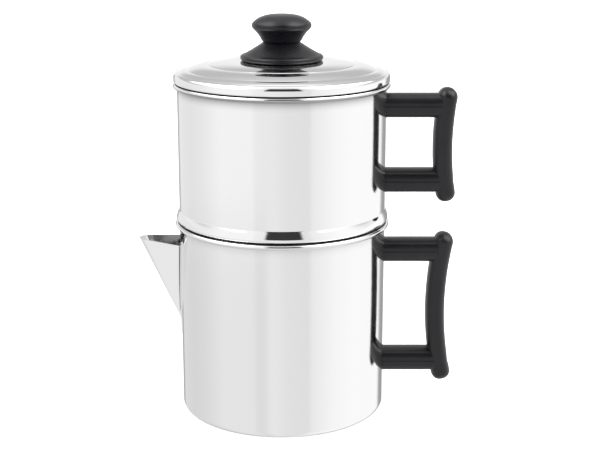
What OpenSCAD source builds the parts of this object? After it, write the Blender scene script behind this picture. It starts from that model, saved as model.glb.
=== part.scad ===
// Two-tier stainless drip coffee pot: a spouted pot, a coffee basket and its spreader,
// a water chamber and a lid, stacked on one axis. The base stands at z = 0, the spout
// points along -X and both handles point along +X.

/* [Walls] */
// Outer diameter of the pot and of the chamber
wall_d = 140; // [136:1:144]
// Sheet thickness of the pot, the chamber and the lid
wall_t = 0.7; // [0.6:0.1:0.8]
// Sheet thickness of the basket and the spreader
thin_t = 0.5; // [0.4:0.1:0.6]
// Height of a rolled rim
bead_d = 3.3; // [3:0.1:3.4]
// Gap left at each seat between two pieces that lift apart
seat_gap = 0.2; // [0.2:0.05:0.3]

/* [Pot] */
// Height of the pot to the top of its rolled rim
pot_h = 133.1; // [130:1:136]
// Outer radius of the edge between base and wall
base_corner = 5; // [4:0.5:6]
// Diameter of a strainer hole behind the spout
strainer_d = 3; // [2:0.5:3.5]

/* [Spout] */
// Distance of the spout's tip from the axis
tip_x = 98; // [95:1:100]
// Height of the spout's tip
tip_z = 119.8; // [118:1:121]
// Height where the keel meets the wall
keel_z = 61; // [60:1:68]
// Height of the spout's top edges at the wall
lip_z = 117.2; // [115:1:118]
// Half the width of the spout at the wall
mouth_y = 15; // [12:1:16]
// Radius of the spout's nose at the height of its tip
nose_r = 7; // [6:0.5:8]

/* [Basket] */
// Depth of the collar that takes the chamber's spigot
collar_depth = 15; // [14:1:17]
// Outer diameter of the coffee cup
cup_d = 112; // [106:2:114]
// Height of the basket's floor above the base
basket_z = 72; // [66:1:76]
// Diameter of a basket hole
basket_hole_d = 2; // [1.5:0.5:2.5]

/* [Chamber] */
// Height of the chamber's rim above the base
chamber_top = 227.2; // [222:1:232]
// Height of the crease where the flare starts
flare_z = 141.7; // [141:0.5:143]
// How far the flare stands out of the wall
flare_out = 1.9; // [1.5:0.1:2]
// Length of the spigot below the flare
spigot_depth = 11; // [9:0.5:12]
// Diameter of a drip hole
drip_hole_d = 1.6; // [1:0.2:2]

/* [Lid] */
// Outer diameter of the lid
lid_d = 144.4; // [144:0.1:145]
// Rise of the lid from its rim to the flat under the knob
lid_rise = 13.6; // [13:0.2:14.5]
// Depth of the skirt that locates the lid in the chamber
skirt_depth = 7.5; // [5:0.5:10]

/* [Knob] */
// Diameter of the knob's base
knob_base_d = 55; // [50:1:58]
// Diameter of the knob's neck
neck_d = 26; // [24:1:28]
// Diameter of the knob's cap
cap_d = 39.6; // [36:0.4:42]
// Height of the base
knob_base_h = 12.4; // [11:0.2:13]
// Height of the cap above its seam with the base
cap_h = 18.1; // [17:0.1:19]

/* [Handles] */
// Height of an arm
arm_h = 16.4; // [15:0.2:17]
// Width of an arm
arm_w = 18.4; // [17:0.2:18.6]
// Thickness of a grip, away from the wall
grip_t = 13.2; // [12.6:0.2:14]
// Width of a grip
grip_w = 19; // [19:0.5:21]
// Height of the pot handle's lower arm
pot_arm_low = 32.2; // [31:0.2:34]
// Height of the pot handle's upper arm
pot_arm_high = 111.2; // [109:0.2:112]
// Height of the lower end of the pot's grip
pot_grip_low = 16.8; // [14:0.2:18]
// Height of the upper end of the pot's grip
pot_grip_high = 123.3; // [122:0.1:126]
// Distance from the axis to the middle of the pot's grip
pot_grip_x = 105.6; // [104:0.2:107]
// How far the pot's grip bows towards the wall
pot_bow = 6.3; // [5:0.1:7]
// Height of the chamber handle's lower arm
chamber_arm_low = 160; // [159:0.2:162]
// Height of the chamber handle's upper arm
chamber_arm_high = 211; // [209:0.2:212]
// Height of the lower end of the chamber's grip
chamber_grip_low = 145; // [143:0.2:146]
// Height of the upper end of the chamber's grip
chamber_grip_high = 223.1; // [222:0.1:225]
// Distance from the axis to the middle of the chamber's grip
chamber_grip_x = 108; // [107:0.2:109]
// How far the chamber's grip bows towards the wall
chamber_bow = 3.8; // [3:0.1:5]

/* [Fasteners] */
// Radius of every screw's shank
screw_r = 2; // [1.5:0.5:2]
// Radius of a screw's head
head_r = 4; // [3.5:0.5:4]
// Height of a screw's head
head_h = 2.6; // [2:0.2:3]
// Radius of a welded boss
boss_r = 5; // [4.5:0.5:5.5]

/* [Hidden] */
$fn = 64;

wall_r = wall_d / 2;
mid_r = wall_r - wall_t / 2;
bore_r = wall_r - wall_t;
bead_mid_r = (bead_d - wall_t) / 2;
half_t = wall_t / 2;
over = 1;
far = 200;

// Seats, from the pot's rim upwards
flange_z = pot_h + seat_gap;
flare_bottom = flange_z + thin_t + seat_gap;
lid_bottom = chamber_top + seat_gap;
lid_flat_z = lid_bottom + lid_rise;
seam_z = lid_flat_z + knob_base_h;

// Nested rings inside the pot's mouth
collar_r = bore_r - 0.7 - thin_t / 2;
collar_bottom = flange_z - collar_depth;
spigot_r = collar_r - thin_t / 2 - 0.55 - half_t;
chamber_floor = flare_bottom - spigot_depth;
cup_r = cup_d / 2 - thin_t / 2;
dish_r = cup_r - 1.8;
dish_z = collar_bottom - 10;
spreader_z = collar_bottom + thin_t + seat_gap;

// Lid
lid_r = lid_d / 2 - half_t;
skirt_r = bore_r - 0.9 - half_t;
lid_edge_r = 3;
lid_side_h = 3.2;

// Heights of each handle's arms, and of its grip's ends
pot_arms = [pot_arm_low, pot_arm_high];
pot_grip = [pot_grip_low, pot_grip_high];
chamber_arms = [chamber_arm_low, chamber_arm_high];
chamber_grip = [chamber_grip_low, chamber_grip_high];

// Handle fixings, measured from the axis
boss_x = wall_r + 6;
screw_seat_x = 111;
washer_t = 0.8;
washer_r = 4.6;
counterbore_r = 5;
shank_clear_r = screw_r + 0.3;
screw_tip_x = wall_r + 2;

// Knob fixings
insert_r = 4;
insert_h = 9;
knob_washer_r = 6;

STEEL = [0.78, 0.78, 0.78];
PHENOLIC = [0.09, 0.09, 0.1];
BRASS = [0.72, 0.58, 0.3];

// Points of an arc about c, from angle a to angle b
function arc(c, r, a, b, n = 8) =
    [for (i = [0:n]) c + r * [cos(a + (b - a) * i / n), sin(a + (b - a) * i / n)]];

// Points of an arc from p to q that stands s to the left of the straight line
function bow(p, q, s, n = 8) =
    let (along = (q - p) / norm(q - p), half = norm(q - p) / 2, open = 2 * atan(s / half))
    let (r = half / sin(open), left = [-along[1], along[0]])
    [for (i = [0:n]) let (a = open * (2 * i / n - 1))
        (p + q) / 2 + along * r * sin(a) + left * r * (cos(a) - cos(open))];

// Unit vector to the left of a path's edge that starts at point i
function edge_left(p, i) =
    let (d = (p[i + 1] - p[i]) / norm(p[i + 1] - p[i])) [-d[1], d[0]];

// Mitred left normal of a path at point i
function path_left(p, i) =
    i == 0 ? edge_left(p, 0)
    : i == len(p) - 1 ? edge_left(p, i - 1)
    : let (a = edge_left(p, i - 1), b = edge_left(p, i)) (a + b) / (1 + a * b);

// Closed outline of a sheet of thickness t along a middle line
function sheet(p, t) = concat(
    [for (i = [0:len(p) - 1]) p[i] + path_left(p, i) * t / 2],
    [for (i = [len(p) - 1:-1:0]) p[i] - path_left(p, i) * t / 2]);

// Middle line of a rim rolled outwards from a wall of middle radius r
function rolled_rim(r, top) =
    arc([r + bead_mid_r, top - bead_d / 2], bead_mid_r, 180, -90, 14);

// Rounded outline of an oblong, more square than an ellipse
function soft_oblong(w, h, n = 24) =
    [for (i = [0:n - 1]) let (c = cos(360 * i / n), s = sin(360 * i / n))
        [sign(c) * w / 2 * pow(abs(c), 0.75), sign(s) * h / 2 * pow(abs(s), 0.75)]];

// Body of revolution of a sheet's middle line
module spun_sheet(path, t) {
    rotate_extrude($fn = 128) polygon(sheet(path, t));
}

// Rings of through holes about the axis: 6, 12, 18... holes, one pitch apart
module ring_holes(rings, pitch, d, z) {
    for (k = rings)
        for (i = [0:max(6 * k, 1) - 1])
            rotate(i * 60 / max(k, 1))
                translate([k * pitch, 0, z - over])
                    cylinder(d = d, h = 2 * over, $fn = 24);
}

// Cylinder along +X that starts at x
module rod_x(x, r, length, z) {
    translate([x, 0, z]) rotate([0, 90, 0]) cylinder(r = r, h = length, $fn = 48);
}

// ---- Pot ----

module pot_shell() {
    corner = base_corner - half_t;
    path = concat([[0, half_t]], arc([wall_r - base_corner, base_corner], corner, -90, 0),
        rolled_rim(mid_r, pot_h));
    color(STEEL)
    difference() {
        spun_sheet(path, wall_t);
        strainer_holes();
    }
}

// Rows of holes that narrow downwards, inside the spout's mouth
module strainer_holes() {
    row_pitch = 7.5;
    step_deg = 5;
    last = [3, 2, 1, 1, 0, 0];
    for (row = [0:len(last) - 1])
        for (i = [0:last[row]])
            rotate(180 + (i - last[row] / 2) * step_deg)
                rod_x(bore_r - over, strainer_d / 2, 3 * over, 114 - row * row_pitch);
}

module pot_spout() {
    run = tip_x - wall_r;
    rise = tip_z - keel_z;
    mouth = mouth_y * rise / (lip_z - keel_z);
    centre = run - nose_r;
    lean = acos(nose_r / norm([centre, mouth])) - atan(centre / mouth);
    color(STEEL)
    union() {
        difference() {
            translate([-wall_r, 0, keel_z]) spout_cone(centre, mouth, rise, lean);
            translate([-wall_r, 0, keel_z] + spout_inset(run, mouth, rise, lean))
                spout_cone(centre, mouth, rise, lean);
            spout_trim(run);
        }
        spout_flange();
    }
}

// Solid that grows from the foot of the keel: two flat sides and a round nose between them
module spout_cone(centre, mouth, rise, lean) {
    inside = 7;
    grow = 1.35;
    ring = concat([[inside * cos(lean), -mouth - inside * sin(lean)]],
        arc([-centre, 0], nose_r, 270 - lean, 90 + lean, 20),
        [[inside * cos(lean), mouth + inside * sin(lean)]]);
    n = len(ring);
    polyhedron(
        points = concat([[0, 0, 0]], [for (p = ring) grow * [p[0], p[1], rise]]),
        faces = concat([[for (i = [1:n]) i]], [for (i = [1:n]) [i % n + 1, i, 0]]));
}

// Shift that moves the nose and both sides of the cone inwards by the sheet's thickness
function spout_inset(run, mouth, rise, lean) =
    let (a = [rise, run] / norm([rise, run]))
    let (b = [rise * sin(lean), mouth * cos(lean)] / norm([rise, mouth * cos(lean)]))
    let (det = a[0] * b[1] - a[1] * b[0])
    wall_t / det * [b[1] - a[1], 0, a[0] - b[0]];

// What is cut off the spout: inside the wall, and above the lip
module spout_trim(run) {
    cylinder(r = wall_r, h = far, $fn = 128);
    translate([-tip_x, -far / 2, tip_z])
        rotate([0, atan((tip_z - lip_z) / run), 0])
            translate([-far / 2, 0, 0]) cube([far, far, far]);
    translate([-wall_r / 2, -far / 2, -over]) cube([far, far, far]);
}

// Tapering strips that are welded to the wall on both sides of the spout
module spout_flange() {
    tab_z = 50.6;
    tab_y = 2;
    top_y = 20;
    top_z = 121.5;
    difference() {
        intersection() {
            difference() {
                translate([0, 0, tab_z - over]) cylinder(r = wall_r + wall_t, h = 80, $fn = 128);
                translate([0, 0, tab_z - 2 * over]) cylinder(r = wall_r, h = 90, $fn = 128);
            }
            translate([-wall_r * 0.8, 0, 0])
                rotate([90, 0, -90])
                    linear_extrude(height = wall_r)
                        polygon([[-top_y, top_z], [-mouth_y, lip_z], [0, lip_z], [mouth_y, lip_z],
                            [top_y, top_z], [tab_y, tab_z], [-tab_y, tab_z]]);
        }
        translate([-wall_r * 0.8, 0, 0])
            rotate([90, 0, -90])
                linear_extrude(height = wall_r)
                    polygon([[0, keel_z + 4], [mouth_y - 0.8, lip_z + over],
                        [0.8 - mouth_y, lip_z + over]]);
    }
}

// ---- Handles ----

// Bar between two heights, bowed towards the wall, with crowned ends
module grip(ends, x, bow_in) {
    middle = (ends[0] + ends[1]) / 2;
    half = (ends[1] - ends[0]) / 2;
    r = (half * half + bow_in * bow_in) / (2 * bow_in);
    open = asin(half / r);
    translate([x + r, 0, middle])
        rotate([90, 0, 0])
            intersection() {
                rotate(180 - open - 5)
                    rotate_extrude(angle = 2 * open + 10, $fn = 96)
                        translate([r, 0]) polygon(soft_oblong(grip_t, grip_w));
                translate([0, 0, -grip_w])
                    linear_extrude(height = 2 * grip_w) polygon(grip_outline(half, r, bow_in));
            }
}

// Side view of a grip about its centre of curvature, a little wider than the bar itself
function grip_outline(half, r, bow_in) =
    let (crown = grip_t * 0.43, wide = grip_t * 0.55, y = half - crown)
    let (near = -sqrt(pow(r + wide, 2) - y * y), away = -sqrt(pow(r - wide, 2) - y * y))
    concat(bow([near, y], [away, y], crown, 10),
        bow([away, -y], [near, -y], crown, 10),
        bow([near, -y], [near, y], bow_in, 14));

// Straight arm from the wall into the grip, with two fine grooves on each side
module arm(z, x) {
    groove = 0.5;
    start = wall_r - 3;
    length = x - start;
    difference() {
        translate([start, 0, z])
            rotate([90, 0, 90])
                linear_extrude(height = length) polygon(soft_oblong(arm_w, arm_h));
        translate([0, 0, z - arm_h]) cylinder(r = wall_r, h = 2 * arm_h, $fn = 128);
        for (side = [-1, 1])
            for (rise = [0.01, 0.28])
                translate([start - over, side * arm_w * side_at(rise) - groove,
                    z + arm_h * rise - groove / 2])
                    cube([length - grip_t / 2, 2 * groove, groove]);
    }
}

// Half width of an arm's section, as a share of its width, at a share of its height
function side_at(rise) = 0.5 * pow(1 - pow(2 * rise, 2 / 0.75), 0.75 / 2);

module handle(arms, ends, x, bow_in) {
    color(PHENOLIC)
    difference() {
        union() {
            grip(ends, x, bow_in);
            for (z = arms)
                arm(z, x);
        }
        for (z = arms)
            translate([0, 0, z]) rotate([0, 90, 0]) rotate(17) screw_bore();
    }
}

// Socket for the boss, clearance for the shank and a counterbore for the head
module screw_bore() {
    outside = 130;
    rotate_extrude($fn = 48)
        polygon([[0, wall_r - 5], [boss_r, wall_r - 5], [boss_r, boss_x], [shank_clear_r, boss_x],
            [shank_clear_r, screw_seat_x], [counterbore_r, screw_seat_x],
            [counterbore_r, outside], [0, outside]]);
}

// Short studs welded to the wall, each with a blind threaded hole
module bosses(arms) {
    color(STEEL)
    difference() {
        for (z = arms)
            rod_x(wall_r - 5, boss_r, boss_x - wall_r + 5, z);
        translate([0, 0, arms[0] - 10]) cylinder(r = wall_r, h = arms[1] - arms[0] + 20, $fn = 128);
        for (z = arms)
            rod_x(screw_tip_x, screw_r, 20, z);
    }
}

// Long screws from the outside of the grip, through the arms, into the bosses
module handle_screws(arms) {
    head_x = screw_seat_x + washer_t;
    slot = 1;
    color(STEEL)
    for (z = arms)
        difference() {
            union() {
                rod_x(screw_tip_x, screw_r, head_x - screw_tip_x + over, z);
                rod_x(head_x, head_r, head_h, z);
            }
            translate([head_x + head_h - slot, -far / 2, z - slot / 2]) cube([far, far, slot]);
        }
}

module handle_washers(arms) {
    color(STEEL)
    for (z = arms)
        difference() {
            rod_x(screw_seat_x, washer_r, washer_t, z);
            rod_x(screw_seat_x - over, shank_clear_r, washer_t + 2 * over, z);
        }
}

module pot_handle() {
    handle(pot_arms, pot_grip, pot_grip_x, pot_bow);
}

module pot_handle_bosses() {
    bosses(pot_arms);
}

module pot_handle_screws() {
    handle_screws(pot_arms);
}

module pot_handle_washers() {
    handle_washers(pot_arms);
}

module chamber_handle() {
    handle(chamber_arms, chamber_grip, chamber_grip_x, chamber_bow);
}

module chamber_handle_bosses() {
    bosses(chamber_arms);
}

module chamber_handle_screws() {
    handle_screws(chamber_arms);
}

module chamber_handle_washers() {
    handle_washers(chamber_arms);
}

// ---- Basket and spreader ----

// Flange on the pot's rim, collar for the spigot, ledge and perforated coffee cup
module basket_shell() {
    bend = 1.2;
    cup_corner = 4;
    mid = thin_t / 2;
    path = concat([[0, basket_z + mid]],
        arc([cup_r - cup_corner, basket_z + mid + cup_corner], cup_corner, -90, 0, 6),
        arc([cup_r + bend, collar_bottom + mid - bend], bend, 180, 90, 5),
        arc([collar_r - bend, collar_bottom + mid + bend], bend, -90, 0, 5),
        arc([collar_r + 1, flange_z + mid - 1], 1, 180, 90, 5),
        [[wall_r + 0.9, flange_z + mid]]);
    color(STEEL)
    difference() {
        spun_sheet(path, thin_t);
        ring_holes([0:4], 10.5, basket_hole_d, basket_z + mid);
    }
}

// Dished disc that spreads the water over the coffee
module spreader_disc() {
    bend = 1.5;
    mid = thin_t / 2;
    path = concat([[0, dish_z + mid]],
        arc([dish_r - 3, dish_z + mid + 3], 3, -90, 0, 6),
        arc([dish_r + bend, spreader_z + mid - bend], bend, 180, 90, 5),
        [[collar_r - 3, spreader_z + mid]]);
    color(STEEL)
    difference() {
        spun_sheet(path, thin_t);
        ring_holes([0], 13, 2 * screw_r, dish_z + mid);
        ring_holes([1:3], 13, 2.4, dish_z + mid);
    }
}

// Turned lifting knob, riveted through the middle of the disc
module spreader_knob() {
    floor_top = dish_z + thin_t;
    top = floor_top + 9.5;
    rivet_head = 0.9;
    color(STEEL)
    rotate_extrude($fn = 64)
        polygon(concat([[0, dish_z - rivet_head], [3, dish_z - rivet_head], [3.4, dish_z],
            [screw_r, dish_z], [screw_r, floor_top], [3.6, floor_top]],
            bow([3.6, floor_top + 0.8], [5.6, top - 3.4], 0.8, 5),
            arc([4.6, top - 2], 2, -30, 90, 6), [[0, top]]));
}

// ---- Chamber ----

// Wall with a rolled rim, a flare that stands on the basket, a spigot and a drip floor
module chamber_shell() {
    corner = 3;
    seat = flare_bottom + half_t;
    flare_r = mid_r + flare_out;
    foot_r = 1.7;
    path = concat([[0, chamber_floor + half_t]],
        arc([spigot_r - corner, chamber_floor + half_t + corner], corner, -90, 0, 6),
        arc([spigot_r + 1, seat - 1], 1, 180, 90, 5),
        arc([flare_r - foot_r, seat + foot_r], foot_r, -90, 0, 6),
        bow([flare_r, seat + foot_r + 0.3], [mid_r, flare_z], -0.2, 6),
        rolled_rim(mid_r, chamber_top));
    color(STEEL)
    difference() {
        spun_sheet(path, wall_t);
        ring_holes([0:3], 12, drip_hole_d, chamber_floor + half_t);
    }
}

// ---- Lid ----

// Middle line of the lid from its axis out to the edge and in to the locating skirt
function lid_path() =
    let (flat = lid_flat_z - half_t, seat = lid_bottom + half_t)
    let (shoulder = [lid_r - lid_edge_r, seat + lid_side_h])
    concat([[0, flat]],
        bow([30, flat], [48.5, flat - 1.6], 0.4, 5),
        bow([48.9, flat - 1.9], [62.3, flat - 4.7], 0.7, 6),
        bow([62.7, flat - 5], [69, flat - 6.9], 0.45, 4),
        arc(shoulder, lid_edge_r, 75, 0, 9),
        arc([lid_r - 1, seat + 1], 1, 0, -90, 5),
        arc([skirt_r + 1.2, seat - 1.2], 1.2, 90, 180, 5),
        [[skirt_r, seat - skirt_depth]]);

module lid_shell() {
    color(STEEL)
    difference() {
        spun_sheet(lid_path(), wall_t);
        translate([0, 0, lid_flat_z - 2 * over])
            cylinder(r = shank_clear_r, h = 4 * over, $fn = 48);
    }
}

// Flared base between the lid and the knob
module knob_base() {
    edge = 2.1;
    rim_r = knob_base_d / 2 - edge;
    color(PHENOLIC)
    rotate_extrude($fn = 96)
        polygon(concat([[shank_clear_r, lid_flat_z]],
            arc([rim_r, lid_flat_z + edge], edge, -90, 50, 8),
            bow([rim_r - 1, lid_flat_z + 4.6], [neck_d / 2 - 0.2, seam_z - 0.6], 0.15, 6),
            [[neck_d / 2 - 1.1, seam_z], [shank_clear_r, seam_z]]));
}

// Mushroom cap, moulded round a threaded insert
module lid_knob() {
    cap_r = cap_d / 2;
    top = seam_z + cap_h;
    color(PHENOLIC)
    rotate_extrude($fn = 96)
        polygon(concat([[insert_r, seam_z], [neck_d / 2 - 0.7, seam_z]],
            bow([neck_d / 2 + 0.2, seam_z + 0.8], [cap_r - 1.7, seam_z + 7.7], 0.4, 6),
            arc([cap_r - 3.1, top - 7.4], 3.1, -55, 50, 8),
            bow([cap_r - 1.35, top - 4.82], [9, top - 0.6], -0.79, 6),
            bow([8.6, top - 0.5], [0, top], -0.12, 4),
            [[0, seam_z + insert_h], [insert_r, seam_z + insert_h]]));
}

module knob_insert() {
    color(BRASS)
    difference() {
        translate([0, 0, seam_z]) cylinder(r = insert_r, h = insert_h, $fn = 48);
        translate([0, 0, seam_z - over]) cylinder(r = screw_r, h = insert_h, $fn = 48);
    }
}

module knob_screw() {
    head_top = lid_flat_z - wall_t - washer_t;
    slot = 1;
    color(STEEL)
    difference() {
        union() {
            translate([0, 0, head_top - head_h]) cylinder(r = head_r, h = head_h, $fn = 48);
            translate([0, 0, head_top - over])
                cylinder(r = screw_r, h = seam_z + insert_h - 2 - head_top, $fn = 48);
        }
        translate([-slot / 2, -far / 2, head_top - head_h - far + slot]) cube([slot, far, far]);
    }
}

module knob_washer() {
    washer_z = lid_flat_z - wall_t - washer_t;
    color(STEEL)
    difference() {
        translate([0, 0, washer_z]) cylinder(r = knob_washer_r, h = washer_t, $fn = 48);
        translate([0, 0, washer_z - over])
            cylinder(r = shank_clear_r, h = washer_t + 2 * over, $fn = 48);
    }
}

pot_shell();
pot_spout();
pot_handle_bosses();
pot_handle();
pot_handle_screws();
pot_handle_washers();
basket_shell();
spreader_disc();
spreader_knob();
chamber_shell();
chamber_handle_bosses();
chamber_handle();
chamber_handle_screws();
chamber_handle_washers();
lid_shell();
knob_base();
lid_knob();
knob_insert();
knob_screw();
knob_washer();
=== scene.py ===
import math

import bmesh
import bpy
from mathutils import Matrix, Vector


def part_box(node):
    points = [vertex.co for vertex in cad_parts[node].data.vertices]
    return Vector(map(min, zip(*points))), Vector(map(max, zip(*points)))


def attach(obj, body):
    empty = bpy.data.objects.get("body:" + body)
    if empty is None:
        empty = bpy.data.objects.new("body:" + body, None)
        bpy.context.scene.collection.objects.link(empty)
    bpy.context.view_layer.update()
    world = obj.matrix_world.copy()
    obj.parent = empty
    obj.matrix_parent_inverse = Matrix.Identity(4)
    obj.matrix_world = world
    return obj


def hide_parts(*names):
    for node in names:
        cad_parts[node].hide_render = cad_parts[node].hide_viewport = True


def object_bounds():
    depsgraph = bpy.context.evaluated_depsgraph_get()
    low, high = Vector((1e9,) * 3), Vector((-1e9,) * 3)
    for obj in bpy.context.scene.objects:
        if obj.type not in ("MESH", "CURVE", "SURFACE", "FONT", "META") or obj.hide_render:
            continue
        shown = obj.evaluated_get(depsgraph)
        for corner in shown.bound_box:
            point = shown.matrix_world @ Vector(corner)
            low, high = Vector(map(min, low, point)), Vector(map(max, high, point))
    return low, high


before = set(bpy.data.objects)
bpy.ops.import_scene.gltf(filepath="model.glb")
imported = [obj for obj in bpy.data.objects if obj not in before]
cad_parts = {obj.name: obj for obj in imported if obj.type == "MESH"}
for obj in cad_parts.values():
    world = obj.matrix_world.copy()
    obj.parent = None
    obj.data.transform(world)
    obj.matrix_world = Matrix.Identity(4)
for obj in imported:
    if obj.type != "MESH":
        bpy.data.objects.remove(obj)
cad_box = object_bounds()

# ---------------------------------------------------------------------------
# Driving sizes, in millimetres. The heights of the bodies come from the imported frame.
# ---------------------------------------------------------------------------
MM = 0.001


def heights(name):
    """Lowest and highest height of a CAD node, in millimetres."""
    low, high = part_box(name)
    return (low / MM).z, (high / MM).z


WALL_R = 70.0        # outer radius of the pot and of the chamber
WALL_T = 0.7         # sheet of the pot, the chamber and the lid
THIN_T = 0.5         # sheet of the basket and the spreader
BEAD_D = 3.3         # height of a rolled rim
GAP = 0.2            # between two rings that rest on each other
HALF_T = WALL_T / 2
MID_R = WALL_R - HALF_T
BORE_R = WALL_R - WALL_T

POT_H = heights("pot_shell")[1]
CHAMBER_FLOOR, CHAMBER_TOP = heights("chamber_shell")
BASKET_FLOOR, BASKET_TOP = heights("basket_shell")
DISH_FLOOR, SPREADER_TOP = heights("spreader_disc")
LID_LOW, LID_FLAT = heights("lid_shell")
SEAM_Z, KNOB_TOP = heights("lid_knob")

FLARE_BOTTOM = BASKET_TOP + GAP
FLARE_TOP = 141.7    # where the chamber's flare meets its wall
LID_BOTTOM = CHAMBER_TOP + GAP
SPIGOT_R = 67.2      # middle radius of the chamber's spigot
COLLAR_R = 68.35     # middle radius of the basket's collar
COLLAR_BOTTOM = SPREADER_TOP - 2 * THIN_T - GAP
CUP_R = 55.75        # middle radius of the basket's cup
DISH_R = 54.2        # middle radius of the spreader's dish
NECK_R = 13.0        # narrowest part of the lid's knob
SCREW_HOLE_R = 2.3   # hole for the knob's screw

KEEL_Z = 61.0        # where the spout's keel leaves the wall
LIP_Z = 117.2        # height of the spout's lip at the wall
MOUTH = 15.0         # half of the spout's width at the wall

TURNS = 288          # steps round a large body of revolution
SHARP_DEG = 35       # edges that bend more than this are shaded sharp


# ---------------------------------------------------------------------------
# Outlines: lists of (radius, height) in millimetres
# ---------------------------------------------------------------------------
def arc(centre, r, a, b, n=12):
    """Points of an arc about centre, from angle a to angle b in degrees."""
    angles = [math.radians(a + (b - a) * i / n) for i in range(n + 1)]
    return [Vector((centre[0] + r * math.cos(t), centre[1] + r * math.sin(t))) for t in angles]


def bow(p, q, stand, n=12):
    """Points of an arc from p to q that stands off to the left of the straight line."""
    p, q = Vector(p), Vector(q)
    half = (q - p).length / 2
    along = (q - p) / (2 * half)
    left = Vector((-along.y, along.x))
    opening = 2 * math.atan(stand / half)
    r = half / math.sin(opening)
    turns = [opening * (2 * i / n - 1) for i in range(n + 1)]
    return [(p + q) / 2 + along * r * math.sin(t) + left * r * (math.cos(t) - math.cos(opening))
            for t in turns]


def line_left(p, i):
    """Mitred left normal of an open path at point i."""
    def edge(k):
        d = (p[k + 1] - p[k]).normalized()
        return Vector((-d.y, d.x))
    if i == 0:
        return edge(0)
    if i == len(p) - 1:
        return edge(i - 1)
    a, b = edge(i - 1), edge(i)
    return (a + b) / (1 + a.dot(b))


def sheet(path, t):
    """Closed outline of a sheet of thickness t along a middle line."""
    path = [Vector(p) for p in path]
    lefts = [line_left(path, i) * t / 2 for i in range(len(path))]
    one = [p + s for p, s in zip(path, lefts)]
    other = [p - s for p, s in zip(path, lefts)]
    return one + other[::-1]


def supported(outline, guard=0.3, longest=9.0):
    """The same closed outline with points added along its straight runs.

    Two of them lie close to the ends of the run, so that smooth shading stays flat between.
    """
    out = []
    for i, p in enumerate(outline):
        q = outline[(i + 1) % len(outline)]
        span = (q - p).length
        out.append(p)
        if span > 3 * guard:
            along = (q - p) / span
            out.append(p + along * guard)
            count = int(span // longest)
            out += [p + along * span * k / (count + 1) for k in range(1, count + 1)]
            out.append(q - along * guard)
    return out


def rolled_rim(top):
    """Middle line of a rim that rolls outwards from the wall."""
    r_curl = (BEAD_D - WALL_T) / 2
    return arc((MID_R + r_curl, top - BEAD_D / 2), r_curl, 180, -90, 24)


def pot_outline():
    corner = 5.0
    path = [Vector((0, HALF_T))]
    path += arc((WALL_R - corner, corner), corner - HALF_T, -90, 0, 14)
    return sheet(path + rolled_rim(POT_H), WALL_T)


def chamber_outline():
    corner, shoulder, foot = 3.0, 1.0, 1.7
    floor, seat = CHAMBER_FLOOR + HALF_T, FLARE_BOTTOM + HALF_T
    flare_r = MID_R + 1.9
    path = [Vector((0, floor))]
    path += arc((SPIGOT_R - corner, floor + corner), corner, -90, 0, 10)
    path += arc((SPIGOT_R + shoulder, seat - shoulder), shoulder, 180, 90, 8)
    path += arc((flare_r - foot, seat + foot), foot, -90, 0, 10)
    path += bow((flare_r, seat + foot + 0.3), (MID_R, FLARE_TOP), -0.2, 12)
    return sheet(path + rolled_rim(CHAMBER_TOP), WALL_T)


def basket_outline():
    bend, corner, shoulder, mid = 1.2, 4.0, 1.0, THIN_T / 2
    floor, ledge, flange = BASKET_FLOOR + mid, COLLAR_BOTTOM + mid, BASKET_TOP - mid
    path = [Vector((0, floor))]
    path += arc((CUP_R - corner, floor + corner), corner, -90, 0, 10)
    path += arc((CUP_R + bend, ledge - bend), bend, 180, 90, 8)
    path += arc((COLLAR_R - bend, ledge + bend), bend, -90, 0, 8)
    path += arc((COLLAR_R + shoulder, flange - shoulder), shoulder, 180, 90, 8)
    return sheet(path + [Vector((WALL_R + 0.9, flange))], THIN_T)


def spreader_outline():
    bend, corner, mid = 1.5, 3.0, THIN_T / 2
    floor, flange = DISH_FLOOR + mid, SPREADER_TOP - mid
    path = [Vector((0, floor))]
    path += arc((DISH_R - corner, floor + corner), corner, -90, 0, 10)
    path += arc((DISH_R + bend, flange - bend), bend, 180, 90, 8)
    return sheet(path + [Vector((COLLAR_R - 3, flange))], THIN_T)


def lid_outline():
    """Three crowned steps of the dome, the rolled edge, the seat and the skirt."""
    flat, seat = LID_FLAT - HALF_T, LID_BOTTOM + HALF_T
    lid_r, skirt_r = 72.2 - HALF_T, BORE_R - 0.9 - HALF_T
    upper, lower, bend = 3.0, 1.0, 1.2
    path = [Vector((SCREW_HOLE_R, flat))]
    path += bow((30, flat), (48.5, flat - 1.6), 0.4, 12)
    path += bow((48.9, flat - 1.9), (62.3, flat - 4.7), 0.7, 12)
    path += bow((62.7, flat - 5), (69, flat - 6.9), 0.45, 8)
    path += arc((lid_r - upper, seat + 3.2), upper, 75, 0, 14)
    path += arc((lid_r - lower, seat + lower), lower, 0, -90, 8)
    path += arc((skirt_r + bend, seat - bend), bend, 90, 180, 8)
    return sheet(path + [Vector((skirt_r, LID_LOW))], WALL_T)


def knob_base_outline():
    edge, low = 2.1, LID_FLAT
    rim_r = 27.5 - edge
    points = [Vector((SCREW_HOLE_R, low))] + arc((rim_r, low + edge), edge, -90, 50, 14)
    points += bow((rim_r - 1, low + 4.6), (NECK_R - 0.2, SEAM_Z - 0.6), 0.15, 12)
    return points + [Vector((NECK_R - 1.1, SEAM_Z)), Vector((SCREW_HOLE_R, SEAM_Z))]


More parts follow.
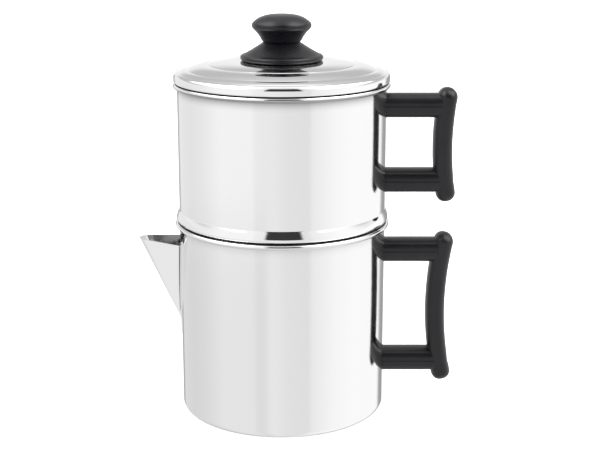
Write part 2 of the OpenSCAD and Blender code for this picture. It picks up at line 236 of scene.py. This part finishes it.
def knob_outline():
    """Mushroom cap with a blind hole for its insert."""
    cap_r, edge, bore, deep = 19.8, 3.1, 4.0, 9.0
    points = [Vector((bore, SEAM_Z)), Vector((NECK_R - 0.7, SEAM_Z))]
    points += bow((NECK_R + 0.2, SEAM_Z + 0.8), (cap_r - 1.7, SEAM_Z + 7.7), 0.4, 12)
    points += arc((cap_r - edge, KNOB_TOP - 7.4), edge, -55, 50, 14)
    points += bow((cap_r - 1.35, KNOB_TOP - 4.82), (9, KNOB_TOP - 0.6), -0.79, 12)
    points += bow((8.6, KNOB_TOP - 0.5), (0, KNOB_TOP), -0.12, 8)
    return points + [Vector((0, SEAM_Z + deep)), Vector((bore, SEAM_Z + deep))]


def spreader_knob_outline():
    """Small knob with its rivet head under the dish and its shank through the dish."""
    under, floor = DISH_FLOOR - 0.9, DISH_FLOOR + THIN_T
    shank_r, neck_r, head_r = 2.0, 3.6, 5.6
    top = floor + 9.5
    points = [Vector(p) for p in ((0, under), (2.6, under), (3.3, DISH_FLOOR - 0.5),
                                  (3.4, DISH_FLOOR), (shank_r, DISH_FLOOR),
                                  (shank_r, floor), (neck_r, floor))]
    points += bow((neck_r, floor + 0.8), (head_r, top - 3.4), 0.8, 10)
    return points + arc((4.6, top - 2), 2, -30, 90, 12) + [Vector((0, top))]


# ---------------------------------------------------------------------------
# Mesh builders
# ---------------------------------------------------------------------------
def smooth(mesh, sharp_deg=SHARP_DEG):
    for face in mesh.polygons:
        face.use_smooth = True
    mesh.set_sharp_from_angle(angle=math.radians(sharp_deg))


def new_object(name, bm, sharp_deg=SHARP_DEG):
    """Finishes a bmesh in millimetres as a smooth-shaded object in metres."""
    bmesh.ops.recalc_face_normals(bm, faces=bm.faces)
    bmesh.ops.scale(bm, vec=Vector((MM, MM, MM)), verts=bm.verts)
    mesh = bpy.data.meshes.new(name)
    bm.to_mesh(mesh)
    bm.free()
    smooth(mesh, sharp_deg)
    piece = bpy.data.objects.new(name, mesh)
    bpy.context.scene.collection.objects.link(piece)
    return piece


def lathe(name, outline, turns=TURNS):
    """Body of revolution of a closed outline."""
    steps = [2 * math.pi * k / turns for k in range(turns)]
    bm = bmesh.new()
    rings = []
    for p in supported(outline):
        if p.x < 1e-6:
            rings.append([bm.verts.new((0, 0, p.y))])
        else:
            rings.append([bm.verts.new((p.x * math.cos(t), p.x * math.sin(t), p.y))
                          for t in steps])
    for i, ring in enumerate(rings):
        follow = rings[(i + 1) % len(rings)]
        if len(ring) == 1 and len(follow) == 1:
            continue
        for k in range(turns):
            corners = [ring[k % len(ring)], ring[(k + 1) % len(ring)],
                       follow[(k + 1) % len(follow)], follow[k % len(follow)]]
            bm.faces.new(list(dict.fromkeys(corners)))
    return new_object(name, bm)


def join_cylinders(name, places, r, length, steps=28):
    """One cutter made of cylinders. places holds (centre, direction) pairs, in millimetres."""
    bm = bmesh.new()
    for centre, direction in places:
        turn = Vector(direction).to_track_quat("Z", "Y").to_matrix().to_4x4()
        bmesh.ops.create_cone(bm, cap_ends=True, segments=steps, radius1=r, radius2=r,
                              depth=length, matrix=Matrix.Translation(Vector(centre)) @ turn)
    return new_object(name, bm)


def apply_modifiers(piece):
    depsgraph = bpy.context.evaluated_depsgraph_get()
    mesh = bpy.data.meshes.new_from_object(piece.evaluated_get(depsgraph))
    piece.modifiers.clear()
    piece.data = mesh


def combine(piece, other, operation="DIFFERENCE"):
    """Applies an exact boolean and throws the other object away."""
    mod = piece.modifiers.new("combine", "BOOLEAN")
    mod.operation, mod.solver, mod.object = operation, "EXACT", other
    apply_modifiers(piece)
    bpy.data.objects.remove(other)


def perforated(name, outline, places, hole_r, length):
    """Sheet body of revolution with round holes."""
    piece = lathe(name, outline)
    combine(piece, join_cylinders("holes", places, hole_r, length))
    smooth(piece.data)
    return piece


def ring_places(rings, pitch, z):
    """Centres of 6, 12, 18... holes on rings about the axis; ring 0 is a single hole."""
    places = []
    for ring in rings:
        count = max(6 * ring, 1)
        for i in range(count):
            a = 2 * math.pi * i / count
            places.append(((ring * pitch * math.cos(a), ring * pitch * math.sin(a), z), (0, 0, 1)))
    return places


def strainer_places():
    """Rows of holes in the wall behind the spout, fewer towards the bottom."""
    top_z, pitch, pitch_deg = 114, 7.5, 5
    places = []
    for row, last in enumerate((3, 2, 1, 1, 0, 0)):
        for i in range(last + 1):
            a = math.radians(180 + (i - last / 2) * pitch_deg)
            out = (math.cos(a), math.sin(a), 0)
            places.append(((MID_R * out[0], MID_R * out[1], top_z - row * pitch), out))
    return places


# ---------------------------------------------------------------------------
# Spout: a folded sheet with flanges that follow the wall
# ---------------------------------------------------------------------------
def round_corner(a, b, c, r, n):
    """Points of a curve of radius about r that replaces corner b of the path a, b, c."""
    to_a, to_c = (a - b), (c - b)
    reach = min(r, 0.45 * to_a.length, 0.45 * to_c.length)
    p, q = b + to_a.normalized() * reach, b + to_c.normalized() * reach
    return [p * (1 - t) ** 2 + b * 2 * t * (1 - t) + q * t ** 2
            for t in (i / n for i in range(n + 1))]


def spout():
    """Rows of points from the bottom of the tab to the lip, thickened to a sheet.

    Each row runs over one flange, the fold, one side, the nose and back. Above the keel's start
    a row is the mouth's outline at the share s of its full size.
    """
    tip_x, tip_z = 98.0, 119.8
    nose_r, bend_r = 7.0, 2.2
    tab_z, tab_y, top_y, top_z = 50.6, 2.0, 20.0, 121.5
    rows_below, rows_above, least = 6, 40, 0.03
    skin_r = WALL_R + HALF_T + 0.02
    run = tip_x - HALF_T - skin_r
    centre = run - nose_r
    lean = math.acos(nose_r / math.hypot(centre, MOUTH)) - math.atan2(centre, MOUTH)
    start = Vector((centre + nose_r * math.sin(lean), nose_r * math.cos(lean)))
    nose = arc((centre, 0), nose_r, 90 - math.degrees(lean), 0, 14)
    rows = [(0.0, tab_z + (KEEL_Z - tab_z) * k / rows_below) for k in range(rows_below)]
    rows += [(k / rows_above, KEEL_Z + (top_z - KEEL_Z) * k / rows_above)
             for k in range(rows_above + 1)]
    bm = bmesh.new()
    grid = []
    for s, z_edge in rows:
        edge = tab_y + (top_y - tab_y) * (z_edge - tab_z) / (top_z - tab_z)
        size = max(s, least)
        wall, flange = Vector((0, MOUTH * size)), Vector((0, edge))
        bend = round_corner(flange, wall, start * size, bend_r, 8)
        strip = [flange.lerp(bend[0], t / 5) for t in range(5)]
        side = [bend[-1].lerp(start * size, t / 8) for t in range(1, 8)]
        half_path = strip + bend + side + [p * size for p in nose]
        path = half_path + [Vector((p.x, -p.y)) for p in half_path[-2::-1]]
        z_wall = KEEL_Z + (LIP_Z - KEEL_Z) * s if s > 0 else z_edge
        z_keel = KEEL_Z + (tip_z - KEEL_Z) * s if s > 0 else z_edge
        row = []
        for p in path:
            out, across = (p.x if s > 0 else 0.0), abs(p.y)
            z = z_wall + (z_keel - z_wall) * out / (run * size)
            if out < 1e-3 and edge > wall.y:
                z = z_wall + (z_edge - z_wall) * max(0.0, (across - wall.y) / (edge - wall.y))
            row.append(bm.verts.new((-(math.sqrt(skin_r ** 2 - p.y ** 2) + out), p.y, z)))
        grid.append(row)
    for lower, upper in zip(grid, grid[1:]):
        for i in range(len(lower) - 1):
            bm.faces.new((lower[i], lower[i + 1], upper[i + 1], upper[i]))
    bmesh.ops.remove_doubles(bm, verts=bm.verts, dist=0.005)
    piece = new_object("spout", bm, 50)
    solid = piece.modifiers.new("sheet", "SOLIDIFY")
    solid.thickness, solid.offset = (WALL_T - 0.04) * MM, 0
    apply_modifiers(piece)
    smooth(piece.data, 50)
    return piece


# ---------------------------------------------------------------------------
# Handles: a bowed grip with rounded ends and two grooved arms
# ---------------------------------------------------------------------------
GRIP_T, GRIP_W = 13.2, 19.0
ARM_H, ARM_W = 16.4, 18.4
SQUARENESS = 0.75    # of the sections: 1 is an ellipse, 0 a rectangle


def oblong(w, h, n=64):
    """Outline between an ellipse and a rectangle."""
    points = []
    for i in range(n):
        c, s = math.cos(2 * math.pi * i / n), math.sin(2 * math.pi * i / n)
        points.append(Vector((math.copysign(w / 2 * abs(c) ** SQUARENESS, c),
                              math.copysign(h / 2 * abs(s) ** SQUARENESS, s))))
    return points


def skin(bm, rings):
    """Quads between rings of equal length, with a face over each end."""
    for a, b in zip(rings, rings[1:]):
        for i in range(len(a)):
            j = (i + 1) % len(a)
            bm.faces.new((a[i], a[j], b[j], b[i]))
    bm.faces.new(rings[0])
    bm.faces.new(rings[-1])


def grip(name, low, high, waist_x, bow_in):
    """Bar from low to high that bows towards the wall by bow_in, to waist_x at its middle."""
    end_steps, steps = 12, 40
    middle, half = (low + high) / 2, (high - low) / 2
    r = (half ** 2 + bow_in ** 2) / (2 * bow_in)
    end = GRIP_T * 0.47
    stations = [(-half + end * (1 - math.cos(t)), math.sin(t))
                for t in (math.pi / 2 * k / end_steps for k in range(1, end_steps + 1))]
    straight = [(-half + end + (2 * half - 2 * end) * k / steps, 1.0) for k in range(1, steps)]
    stations += straight + [(-h, s) for h, s in reversed(stations)]
    bm = bmesh.new()
    rings = []
    for h, size in stations:
        angle = math.asin(h / r)
        centre = Vector((waist_x + r - r * math.cos(angle), 0, middle + h))
        across = Vector((math.cos(angle), 0, -math.sin(angle)))
        rings.append([bm.verts.new(centre + across * p.x * size + Vector((0, p.y * size, 0)))
                      for p in oblong(GRIP_T, GRIP_W)])
    skin(bm, rings)
    return new_object(name, bm, 40)


def arm_section():
    """Outline of an arm in (y, z), with two fine grooves on each side."""
    groove_w, groove_deep = 0.6, 0.32
    grooves = [ARM_H * 0.01, ARM_H * 0.28]
    count = 72
    levels = [ARM_H / 2 * math.sin(math.pi * (k / count - 0.5)) for k in range(count + 1)]
    for g in grooves:
        levels += [g - groove_w, g - groove_w / 2, g, g + groove_w / 2, g + groove_w]
    side = []
    for z in sorted(set(levels)):
        share = min(abs(2 * z / ARM_H), 1)
        y = ARM_W / 2 * (1 - share ** (2 / SQUARENESS)) ** (SQUARENESS / 2)
        dip = max(max(0.0, 1 - abs(z - g) / (groove_w / 2)) for g in grooves)
        side.append(Vector((max(y - groove_deep * dip, 0), z)))
    return side + [Vector((-p.x, p.y)) for p in side[-2:0:-1]]


def arm(name, z, end_x):
    """Arm at height z, from the wall to end_x."""
    steps = 8
    section = arm_section()
    start = [math.sqrt((WALL_R + 0.05) ** 2 - p.x ** 2) for p in section]
    bm = bmesh.new()
    rings = []
    for k in range(steps + 1):
        rings.append([bm.verts.new((x + (end_x - x) * k / steps, p.x, z + p.y))
                      for x, p in zip(start, section)])
    skin(bm, rings)
    return new_object(name, bm, 40)


def handle(name, node, waist_x, bow_in, arm_heights):
    """Grip and two arms as one moulding, with a counterbore for the screw opposite each arm."""
    trim, overlap = 0.1, 0.5
    bore_floor, bore_r, bore_length = 111, 5.0, 44
    low, high = heights(node)
    piece = grip(name, low + trim, high - trim, waist_x, bow_in)
    for z in arm_heights:
        combine(piece, arm(name + "_arm", z, waist_x + overlap), "UNION")
    for z in arm_heights:
        middle = (bore_floor + bore_length / 2, 0, z)
        combine(piece, join_cylinders("bore", [(middle, (1, 0, 0))], bore_r, bore_length, 48))
    smooth(piece.data, 28)
    return piece


# ---------------------------------------------------------------------------
# Materials
# ---------------------------------------------------------------------------
class Graph:
    """Adds linked nodes to a node tree."""

    def __init__(self, tree):
        self.tree = tree

    def feed(self, socket, value):
        """Links a socket to a value that is itself a socket, or else sets it."""
        if isinstance(value, bpy.types.NodeSocket):
            self.tree.links.new(value, socket)
        else:
            socket.default_value = value

    def add(self, kind, values=None, **settings):
        node = self.tree.nodes.new(kind)
        for key, value in settings.items():
            setattr(node, key, value)
        for key, value in (values or {}).items():
            self.feed(node.inputs[key], value)
        return node

    def maths(self, operation, *values):
        return self.add("ShaderNodeMath", dict(enumerate(values)), operation=operation).outputs[0]


class Paint(Graph):
    """A material with a Principled shader."""

    def __init__(self, name):
        self.material = bpy.data.materials.new(name)
        self.material.use_nodes = True
        super().__init__(self.material.node_tree)
        self.shader = self.tree.nodes["Principled BSDF"]

    def spread(self, value, low, high, out_low, out_high):
        node = self.add("ShaderNodeMapRange", {0: value, 1: low, 2: high, 3: out_low, 4: out_high})
        return node.outputs[0]

    def noise(self, vector, scale, detail, roughness):
        node = self.add("ShaderNodeTexNoise", {"Vector": vector, "Scale": scale, "Detail": detail,
                                               "Roughness": roughness})
        return node.outputs[0]

    def mix(self, factor, one, two):
        values = {0: factor, 6: one, 7: two}
        return self.add("ShaderNodeMix", values, data_type="RGBA").outputs[2]

    def bump(self, height, distance, strength, normal=None):
        values = {"Height": height, "Distance": distance, "Strength": strength}
        if normal is not None:
            values["Normal"] = normal
        return self.add("ShaderNodeBump", values).outputs[0]

    def place(self):
        """Object coordinates in millimetres."""
        coords = self.add("ShaderNodeTexCoord").outputs["Object"]
        to_mm = (1 / MM, 1 / MM, 1 / MM)
        return self.add("ShaderNodeVectorMath", {0: coords, 1: to_mm},
                        operation="MULTIPLY").outputs[0]

    def round_place(self, around, along, radial):
        """Coordinates (arc, height, radius) about the axis, each stretched by its own factor."""
        x, y, z = self.add("ShaderNodeSeparateXYZ", {0: self.place()}).outputs
        angle = self.maths("ARCTAN2", y, x)
        squares = self.maths("ADD", self.maths("MULTIPLY", x, x), self.maths("MULTIPLY", y, y))
        r = self.maths("SQRT", squares)
        joined = self.add("ShaderNodeCombineXYZ", {0: self.maths("MULTIPLY", angle, around),
                                                   1: self.maths("MULTIPLY", z, along),
                                                   2: self.maths("MULTIPLY", r, radial)})
        return joined.outputs[0]

    def finish(self, **values):
        """Sets the shader's sockets and returns the material."""
        for key, value in values.items():
            self.feed(self.shader.inputs[key.replace("_", " ")], value)
        return self.material


def grey(tone):
    return (tone, tone, tone, 1)


def steel(name, tone, rough, grain, smudge, rim=None, shade=0.0):
    """Stainless sheet with grain that runs round the axis and faint handling marks.

    grain and smudge are how much each changes the roughness. Over the last millimetres below
    the height rim, painted shade darkens the sheet for the shadow of the rolled rim, by the share
    shade at the rim.
    """
    fade = 7
    p = Paint(name)
    lines = p.noise(p.round_place(6, 9, 9), 1.0, 6.0, 0.7)
    fine = p.noise(p.round_place(12, 34, 34), 1.0, 3.0, 0.6)
    marks = p.noise(p.place(), 0.035, 5.0, 0.6)
    worn = p.maths("ADD", p.spread(lines, 0.3, 0.7, -grain, grain),
                   p.spread(marks, 0.4, 0.65, 0, smudge))
    roughness = p.maths("ADD", worn, rough)
    color = p.mix(p.spread(fine, 0.35, 0.65, 0, 1), grey(tone), grey(tone * 0.955))
    # Painted shade: the colour gets darker towards the rim, for the shadow under the rolled rim.
    if rim:
        height = p.add("ShaderNodeSeparateXYZ", {0: p.place()}).outputs[2]
        rim_shade_mask = p.maths("POWER", p.spread(height, rim - fade, rim, 0, 1), 2.0)
        color = p.mix(p.maths("MULTIPLY", rim_shade_mask, shade), color, grey(0))
    normal = p.bump(lines, 0.000012, 0.6, p.bump(marks, 0.00012, 0.35))
    return p.finish(Base_Color=color, Metallic=1.0, Roughness=roughness, Normal=normal)


def phenolic():
    """Black moulded resin: soft sheen, faint mould texture, greyer in soft patches."""
    p = Paint("phenolic")
    flow = p.noise(p.place(), 0.05, 4.0, 0.6)
    grain = p.noise(p.place(), 1.6, 5.0, 0.6)
    color = p.mix(p.spread(flow, 0.35, 0.7, 0, 1),
                  (0.0035, 0.0033, 0.0048, 1), (0.0065, 0.006, 0.0085, 1))
    roughness = p.maths("ADD", p.spread(flow, 0.3, 0.7, 0.30, 0.38),
                        p.spread(grain, 0.3, 0.7, -0.03, 0.03))
    normal = p.bump(grain, 0.00003, 0.5)
    return p.finish(Base_Color=color, Roughness=roughness, Normal=normal, Specular_IOR_Level=0.4,
                    Sheen_Weight=0.06, Sheen_Roughness=0.3, Sheen_Tint=(0.9, 0.88, 1, 1))


def turned(name, light, dark, rough):
    """Machined metal for screws, washers, bosses and the insert."""
    p = Paint(name)
    rings = p.noise(p.place(), 2.5, 6.0, 0.7)
    stain = p.noise(p.place(), 0.4, 4.0, 0.6)
    color = p.mix(p.spread(stain, 0.35, 0.7, 0, 1), light + (1,), dark + (1,))
    roughness = p.maths("ADD", p.spread(rings, 0.3, 0.7, -0.05, 0.08), rough)
    normal = p.bump(rings, 0.00002, 0.5)
    return p.finish(Base_Color=color, Metallic=1.0, Roughness=roughness, Normal=normal)


# pot_steel and chamber_steel carry painted shade under their rims, with shares 0.2 and 0.6.
pot_steel = steel("pot_steel", 0.87, 0.075, 0.02, 0.02, rim=POT_H - BEAD_D, shade=0.2)
chamber_steel = steel("chamber_steel", 0.88, 0.075, 0.02, 0.02, rim=CHAMBER_TOP - BEAD_D,
                      shade=0.6)
mirror_steel = steel("mirror_steel", 0.90, 0.035, 0.008, 0.012)
inner_steel = steel("inner_steel", 0.80, 0.30, 0.04, 0.05)
strainer_steel = steel("strainer_steel", 0.78, 0.16, 0.04, 0.05)
# Painted shade for the inside of the spout's mouth.
mouth_painted_shade = steel("mouth_painted_shade", 0.30, 0.16, 0.04, 0.05)
# Painted shade for the crease beside the spout's fold.
crease_painted_shade = steel("crease_painted_shade", 0.08, 0.3, 0.04, 0.05)
# Painted shadow for the seams at the lid's edge and at the basket's flange.
painted_seam_shadow = steel("painted_seam_shadow", 0.02, 0.5, 0.04, 0.05)
black_resin = phenolic()
screw_steel = turned("screw_steel", (0.62, 0.62, 0.63), (0.48, 0.48, 0.49), 0.28)
insert_brass = turned("insert_brass", (0.74, 0.57, 0.28), (0.60, 0.44, 0.20), 0.30)


# ---------------------------------------------------------------------------
# Zones: the number of the material for a face at a place (in mm) with a normal
# ---------------------------------------------------------------------------
def shell_zone(top, foot_top=0.0, foot=0.0):
    """0 the outside of the wall and the lower half of the rolled rim, which get the painted shade
    under the rim; 1 the upper half of the rolled rim and the flare; 2 the inside.
    """
    outside_r = BORE_R + 0.1

    def zone(place, normal):
        r, z = place.xy.length, place.z
        if z > top - BEAD_D / 2 or (foot and z < foot_top and r > outside_r):
            return 1
        return 0 if r > outside_r or z < HALF_T else 2
    return zone


def basket_zone(place, normal):
    """0 the basket, 1 the edge of its flange, painted dark for the shadow in the seam."""
    return int(place.xy.length > WALL_R + 0.4)


def lid_zone(place, normal):
    """0 the lid, 1 a ring painted dark for the shadow in the seam against the chamber's rim."""
    return int(place.z < LID_BOTTOM + 0.7 and place.xy.length > WALL_R + 0.3)


def spout_zone(place, normal):
    """0 the outside, 1 a line of painted shade in the crease beside the fold, 2 the inside of the
    mouth, darkened with painted shade.
    """
    flange_r = WALL_R + 1.2
    crease_from, crease_to = 0.2, 1.9
    middle_out, mouth_out = 11, 19
    share = max(0.0, (place.z - KEEL_Z) / (LIP_Z - KEEL_Z))
    beside = abs(place.y) - MOUTH * share
    if place.xy.length < flange_r:
        # Painted shade: a dark line in the crease beside the fold.
        return int(KEEL_Z + 5 < place.z < LIP_Z and crease_from < beside < crease_to)
    from_middle = place.xy - Vector((-WALL_R - middle_out * share, 0))
    inside = from_middle.dot(normal.xy) < 0 and abs(normal.z) < 0.7
    # Painted shade inside the mouth.
    return 2 if inside and place.x > -WALL_R - mouth_out else 0


# ---------------------------------------------------------------------------
# Pieces
# ---------------------------------------------------------------------------
def dress(piece, body, node, slot, *materials, zone=None):
    """Gives a piece its materials and its body, and hides the CAD node it stands for.

    zone(place, normal), if given, picks the material of each face. The argument slot is not used.
    """
    piece.data.materials.clear()
    for material in materials:
        piece.data.materials.append(material)
    if zone:
        for face in piece.data.polygons:
            face.material_index = zone(face.center / MM, face.normal)
    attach(piece, body)
    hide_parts(node)


dress(perforated("pot", pot_outline(), strainer_places(), 1.5, 4),
      "pot", "pot_shell", "polished_steel", pot_steel, mirror_steel, inner_steel,
      zone=shell_zone(POT_H))

dress(spout(), "pot", "pot_spout", "bright_steel", mirror_steel, crease_painted_shade, mouth_painted_shade,
      zone=spout_zone)

drips = ring_places(range(4), 12, CHAMBER_FLOOR + HALF_T)
dress(perforated("chamber", chamber_outline(), drips, 0.8, 2),
      "chamber", "chamber_shell", "polished_steel", chamber_steel, mirror_steel, inner_steel,
      zone=shell_zone(CHAMBER_TOP, FLARE_TOP + 0.2, FLARE_BOTTOM))

basket_holes = ring_places(range(5), 10.5, BASKET_FLOOR + THIN_T / 2)
dress(perforated("basket", basket_outline(), basket_holes, 1.0, 2),
      "basket", "basket_shell", "strainer_steel", strainer_steel, painted_seam_shadow, zone=basket_zone)

dish_holes = ring_places(range(1, 4), 13, DISH_FLOOR + THIN_T / 2)
dress(perforated("spreader", spreader_outline(), dish_holes, 1.2, 2),
      "spreader", "spreader_disc", "strainer_steel", strainer_steel)
dress(lathe("spreader_lift", spreader_knob_outline(), turns=96),
      "spreader", "spreader_knob", "strainer_steel", strainer_steel)

dress(lathe("lid", lid_outline()),
      "lid", "lid_shell", "bright_steel", mirror_steel, painted_seam_shadow, zone=lid_zone)
dress(lathe("knob_foot", knob_base_outline(), turns=192),
      "lid", "knob_base", "phenolic", black_resin)
dress(lathe("knob_cap", knob_outline(), turns=192),
      "lid", "lid_knob", "phenolic", black_resin)

dress(handle("pot_grip", "pot_handle", waist_x=105.6, bow_in=6.3, arm_heights=(32.2, 111.2)),
      "pot", "pot_handle", "phenolic", black_resin)
dress(handle("chamber_grip", "chamber_handle", waist_x=108.0, bow_in=3.8,
             arm_heights=(160.0, 211.0)),
      "chamber", "chamber_handle", "phenolic", black_resin)

FASTENERS = ["pot_handle_bosses", "pot_handle_screws", "pot_handle_washers",
             "chamber_handle_bosses", "chamber_handle_screws", "chamber_handle_washers",
             "knob_screw", "knob_washer", "knob_insert"]
EDGE = 0.15          # small bevel on the fasteners
for node in FASTENERS:
    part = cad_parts[node]
    part.data.materials.clear()
    part.data.materials.append(insert_brass if node == "knob_insert" else screw_steel)
    edge = part.modifiers.new("edge", "BEVEL")
    edge.width, edge.segments, edge.limit_method = EDGE * MM, 2, "ANGLE"


# ---------------------------------------------------------------------------
# Camera
# ---------------------------------------------------------------------------
CAMERA_AT = Vector((12.1, -879.1, 359.3))
CAMERA_DOWN = 14.74  # degrees below level

camera = bpy.data.objects.new("camera", bpy.data.cameras.new("camera"))
bpy.context.scene.collection.objects.link(camera)
camera.data.sensor_width = 36
camera.data.lens = 79.7
camera.data.clip_end = 400
camera.location = CAMERA_AT * MM
camera.rotation_euler = (math.radians(90 - CAMERA_DOWN), 0, 0)
bpy.context.scene.camera = camera


# ---------------------------------------------------------------------------
# Stage: a plain white floor and a soft white tent of light
# ---------------------------------------------------------------------------
def floor():
    """Floor so wide that it reaches the horizon. The steel reflects the tent instead of it."""
    half_width, gap = 120000, 0.2
    bm = bmesh.new()
    bmesh.ops.create_grid(bm, x_segments=1, y_segments=1, size=half_width)
    piece = new_object("floor", bm)
    white = Paint("floor").finish(Base_Color=grey(0.75), Roughness=0.9,
                                  Emission_Color=grey(1), Emission_Strength=0.8)
    piece.data.materials.append(white)
    piece.location.z = cad_box[0].z - gap * MM
    piece.visible_glossy = False


class Tent(Graph):
    """World light of a white tent, as a tone for every azimuth and height in degrees.

    Azimuth 0 is behind the camera of the main view, and 90 is to its right.
    """

    def __init__(self):
        world = bpy.data.worlds.new("tent")
        bpy.context.scene.world = world
        world.use_nodes = True
        super().__init__(world.node_tree)
        direction = self.add("ShaderNodeTexCoord").outputs["Generated"]
        x, y, z = self.add("ShaderNodeSeparateXYZ", {0: direction}).outputs
        degrees = 180 / math.pi
        turn = self.maths("ARCTAN2", x, self.maths("MULTIPLY", y, -1.0))
        self.azimuth = self.maths("MULTIPLY", turn, degrees)
        self.height = self.maths("MULTIPLY", self.maths("ARCSINE", z), degrees)

    def rise(self, value, start, end):
        """0 below start, 1 above end, smooth between them."""
        return self.add("ShaderNodeMapRange", {0: value, 1: start, 2: end},
                        interpolation_type="SMOOTHSTEP").outputs[0]

    def rest(self, share):
        return self.maths("SUBTRACT", 1.0, share)

    def between(self, value, low, high, soft):
        """1 between low and high, with soft edges inside them."""
        fall = self.rest(self.rise(value, high - soft, high))
        return self.maths("MULTIPLY", self.rise(value, low, low + soft), fall)

    def ramp(self, value, low, high, stops):
        """Tone along a value, from (value, tone) stops."""
        top = max(tone for _, tone in stops)
        share = self.maths("DIVIDE", self.maths("SUBTRACT", value, low), high - low)
        node = self.add("ShaderNodeValToRGB", {0: share})
        elements = node.color_ramp.elements
        while len(elements) < len(stops):
            elements.new(0.5)
        for element, (place, tone) in zip(elements, stops):
            element.position = (place - low) / (high - low)
            element.color = grey(tone / top)
        return self.maths("MULTIPLY", node.outputs[0], top)

    def blend(self, one, two, share):
        """one where the share is 0, two where it is 1."""
        return self.maths("ADD", self.maths("MULTIPLY", two, share),
                          self.maths("MULTIPLY", one, self.rest(share)))

    def dim(self, tone, mask, share):
        """Tone with a share of it taken away where the mask is 1. A share below 0 adds light."""
        return self.maths("MULTIPLY", tone, self.rest(self.maths("MULTIPLY", mask, share)))

    def light(self):
        side = self.maths("ABSOLUTE", self.azimuth)
        panels = self.ramp(self.azimuth, -180, 180, [
            (-180, 1.1), (-166, 1.1), (-158, 0.35), (-150, 0.9), (-117, 0.88), (-95, 0.93),
            (-69, 1.04), (-31, 1.03), (-29, 0.96), (-6, 0.93), (6, 0.88), (30, 0.86), (33, 0.95),
            (61, 1.08), (85, 1.12), (138, 1.1), (146, 0.4), (160, 0.35), (168, 1.1), (180, 1.1)])
        ceiling = self.ramp(self.height, 0, 90, [
            (0, 1.0), (12, 0.92), (20, 0.58), (32, 0.56), (44, 0.66), (54, 0.72), (62, 1.15),
            (90, 1.1)])
        tone = self.blend(panels, ceiling, self.rise(side, 75, 110))
        tone = self.blend(panels, tone, self.rise(self.height, 3, 8))
        left_floor = self.maths("MULTIPLY", self.between(self.azimuth, -170, -10, 12),
                                self.rest(self.rise(self.height, -17, -13)))
        tone = self.dim(tone, left_floor, 0.12)
        opening = self.maths("MULTIPLY", self.between(self.azimuth, -18, 23, 1.2),
                             self.between(self.height, 5, 60, 2))
        tone = self.dim(tone, opening, 0.95)
        lamps = self.maths("MULTIPLY", self.between(side, 40, 140, 15),
                           self.between(self.height, 25, 78, 10))
        tone = self.dim(tone, lamps, -3.0)
        background = self.tree.nodes["Background"]
        self.feed(background.inputs["Strength"], tone)
        self.feed(background.inputs["Color"], (1, 1, 1, 1))


floor()
Tent().light()
bpy.context.scene.view_settings.view_transform = "Standard"
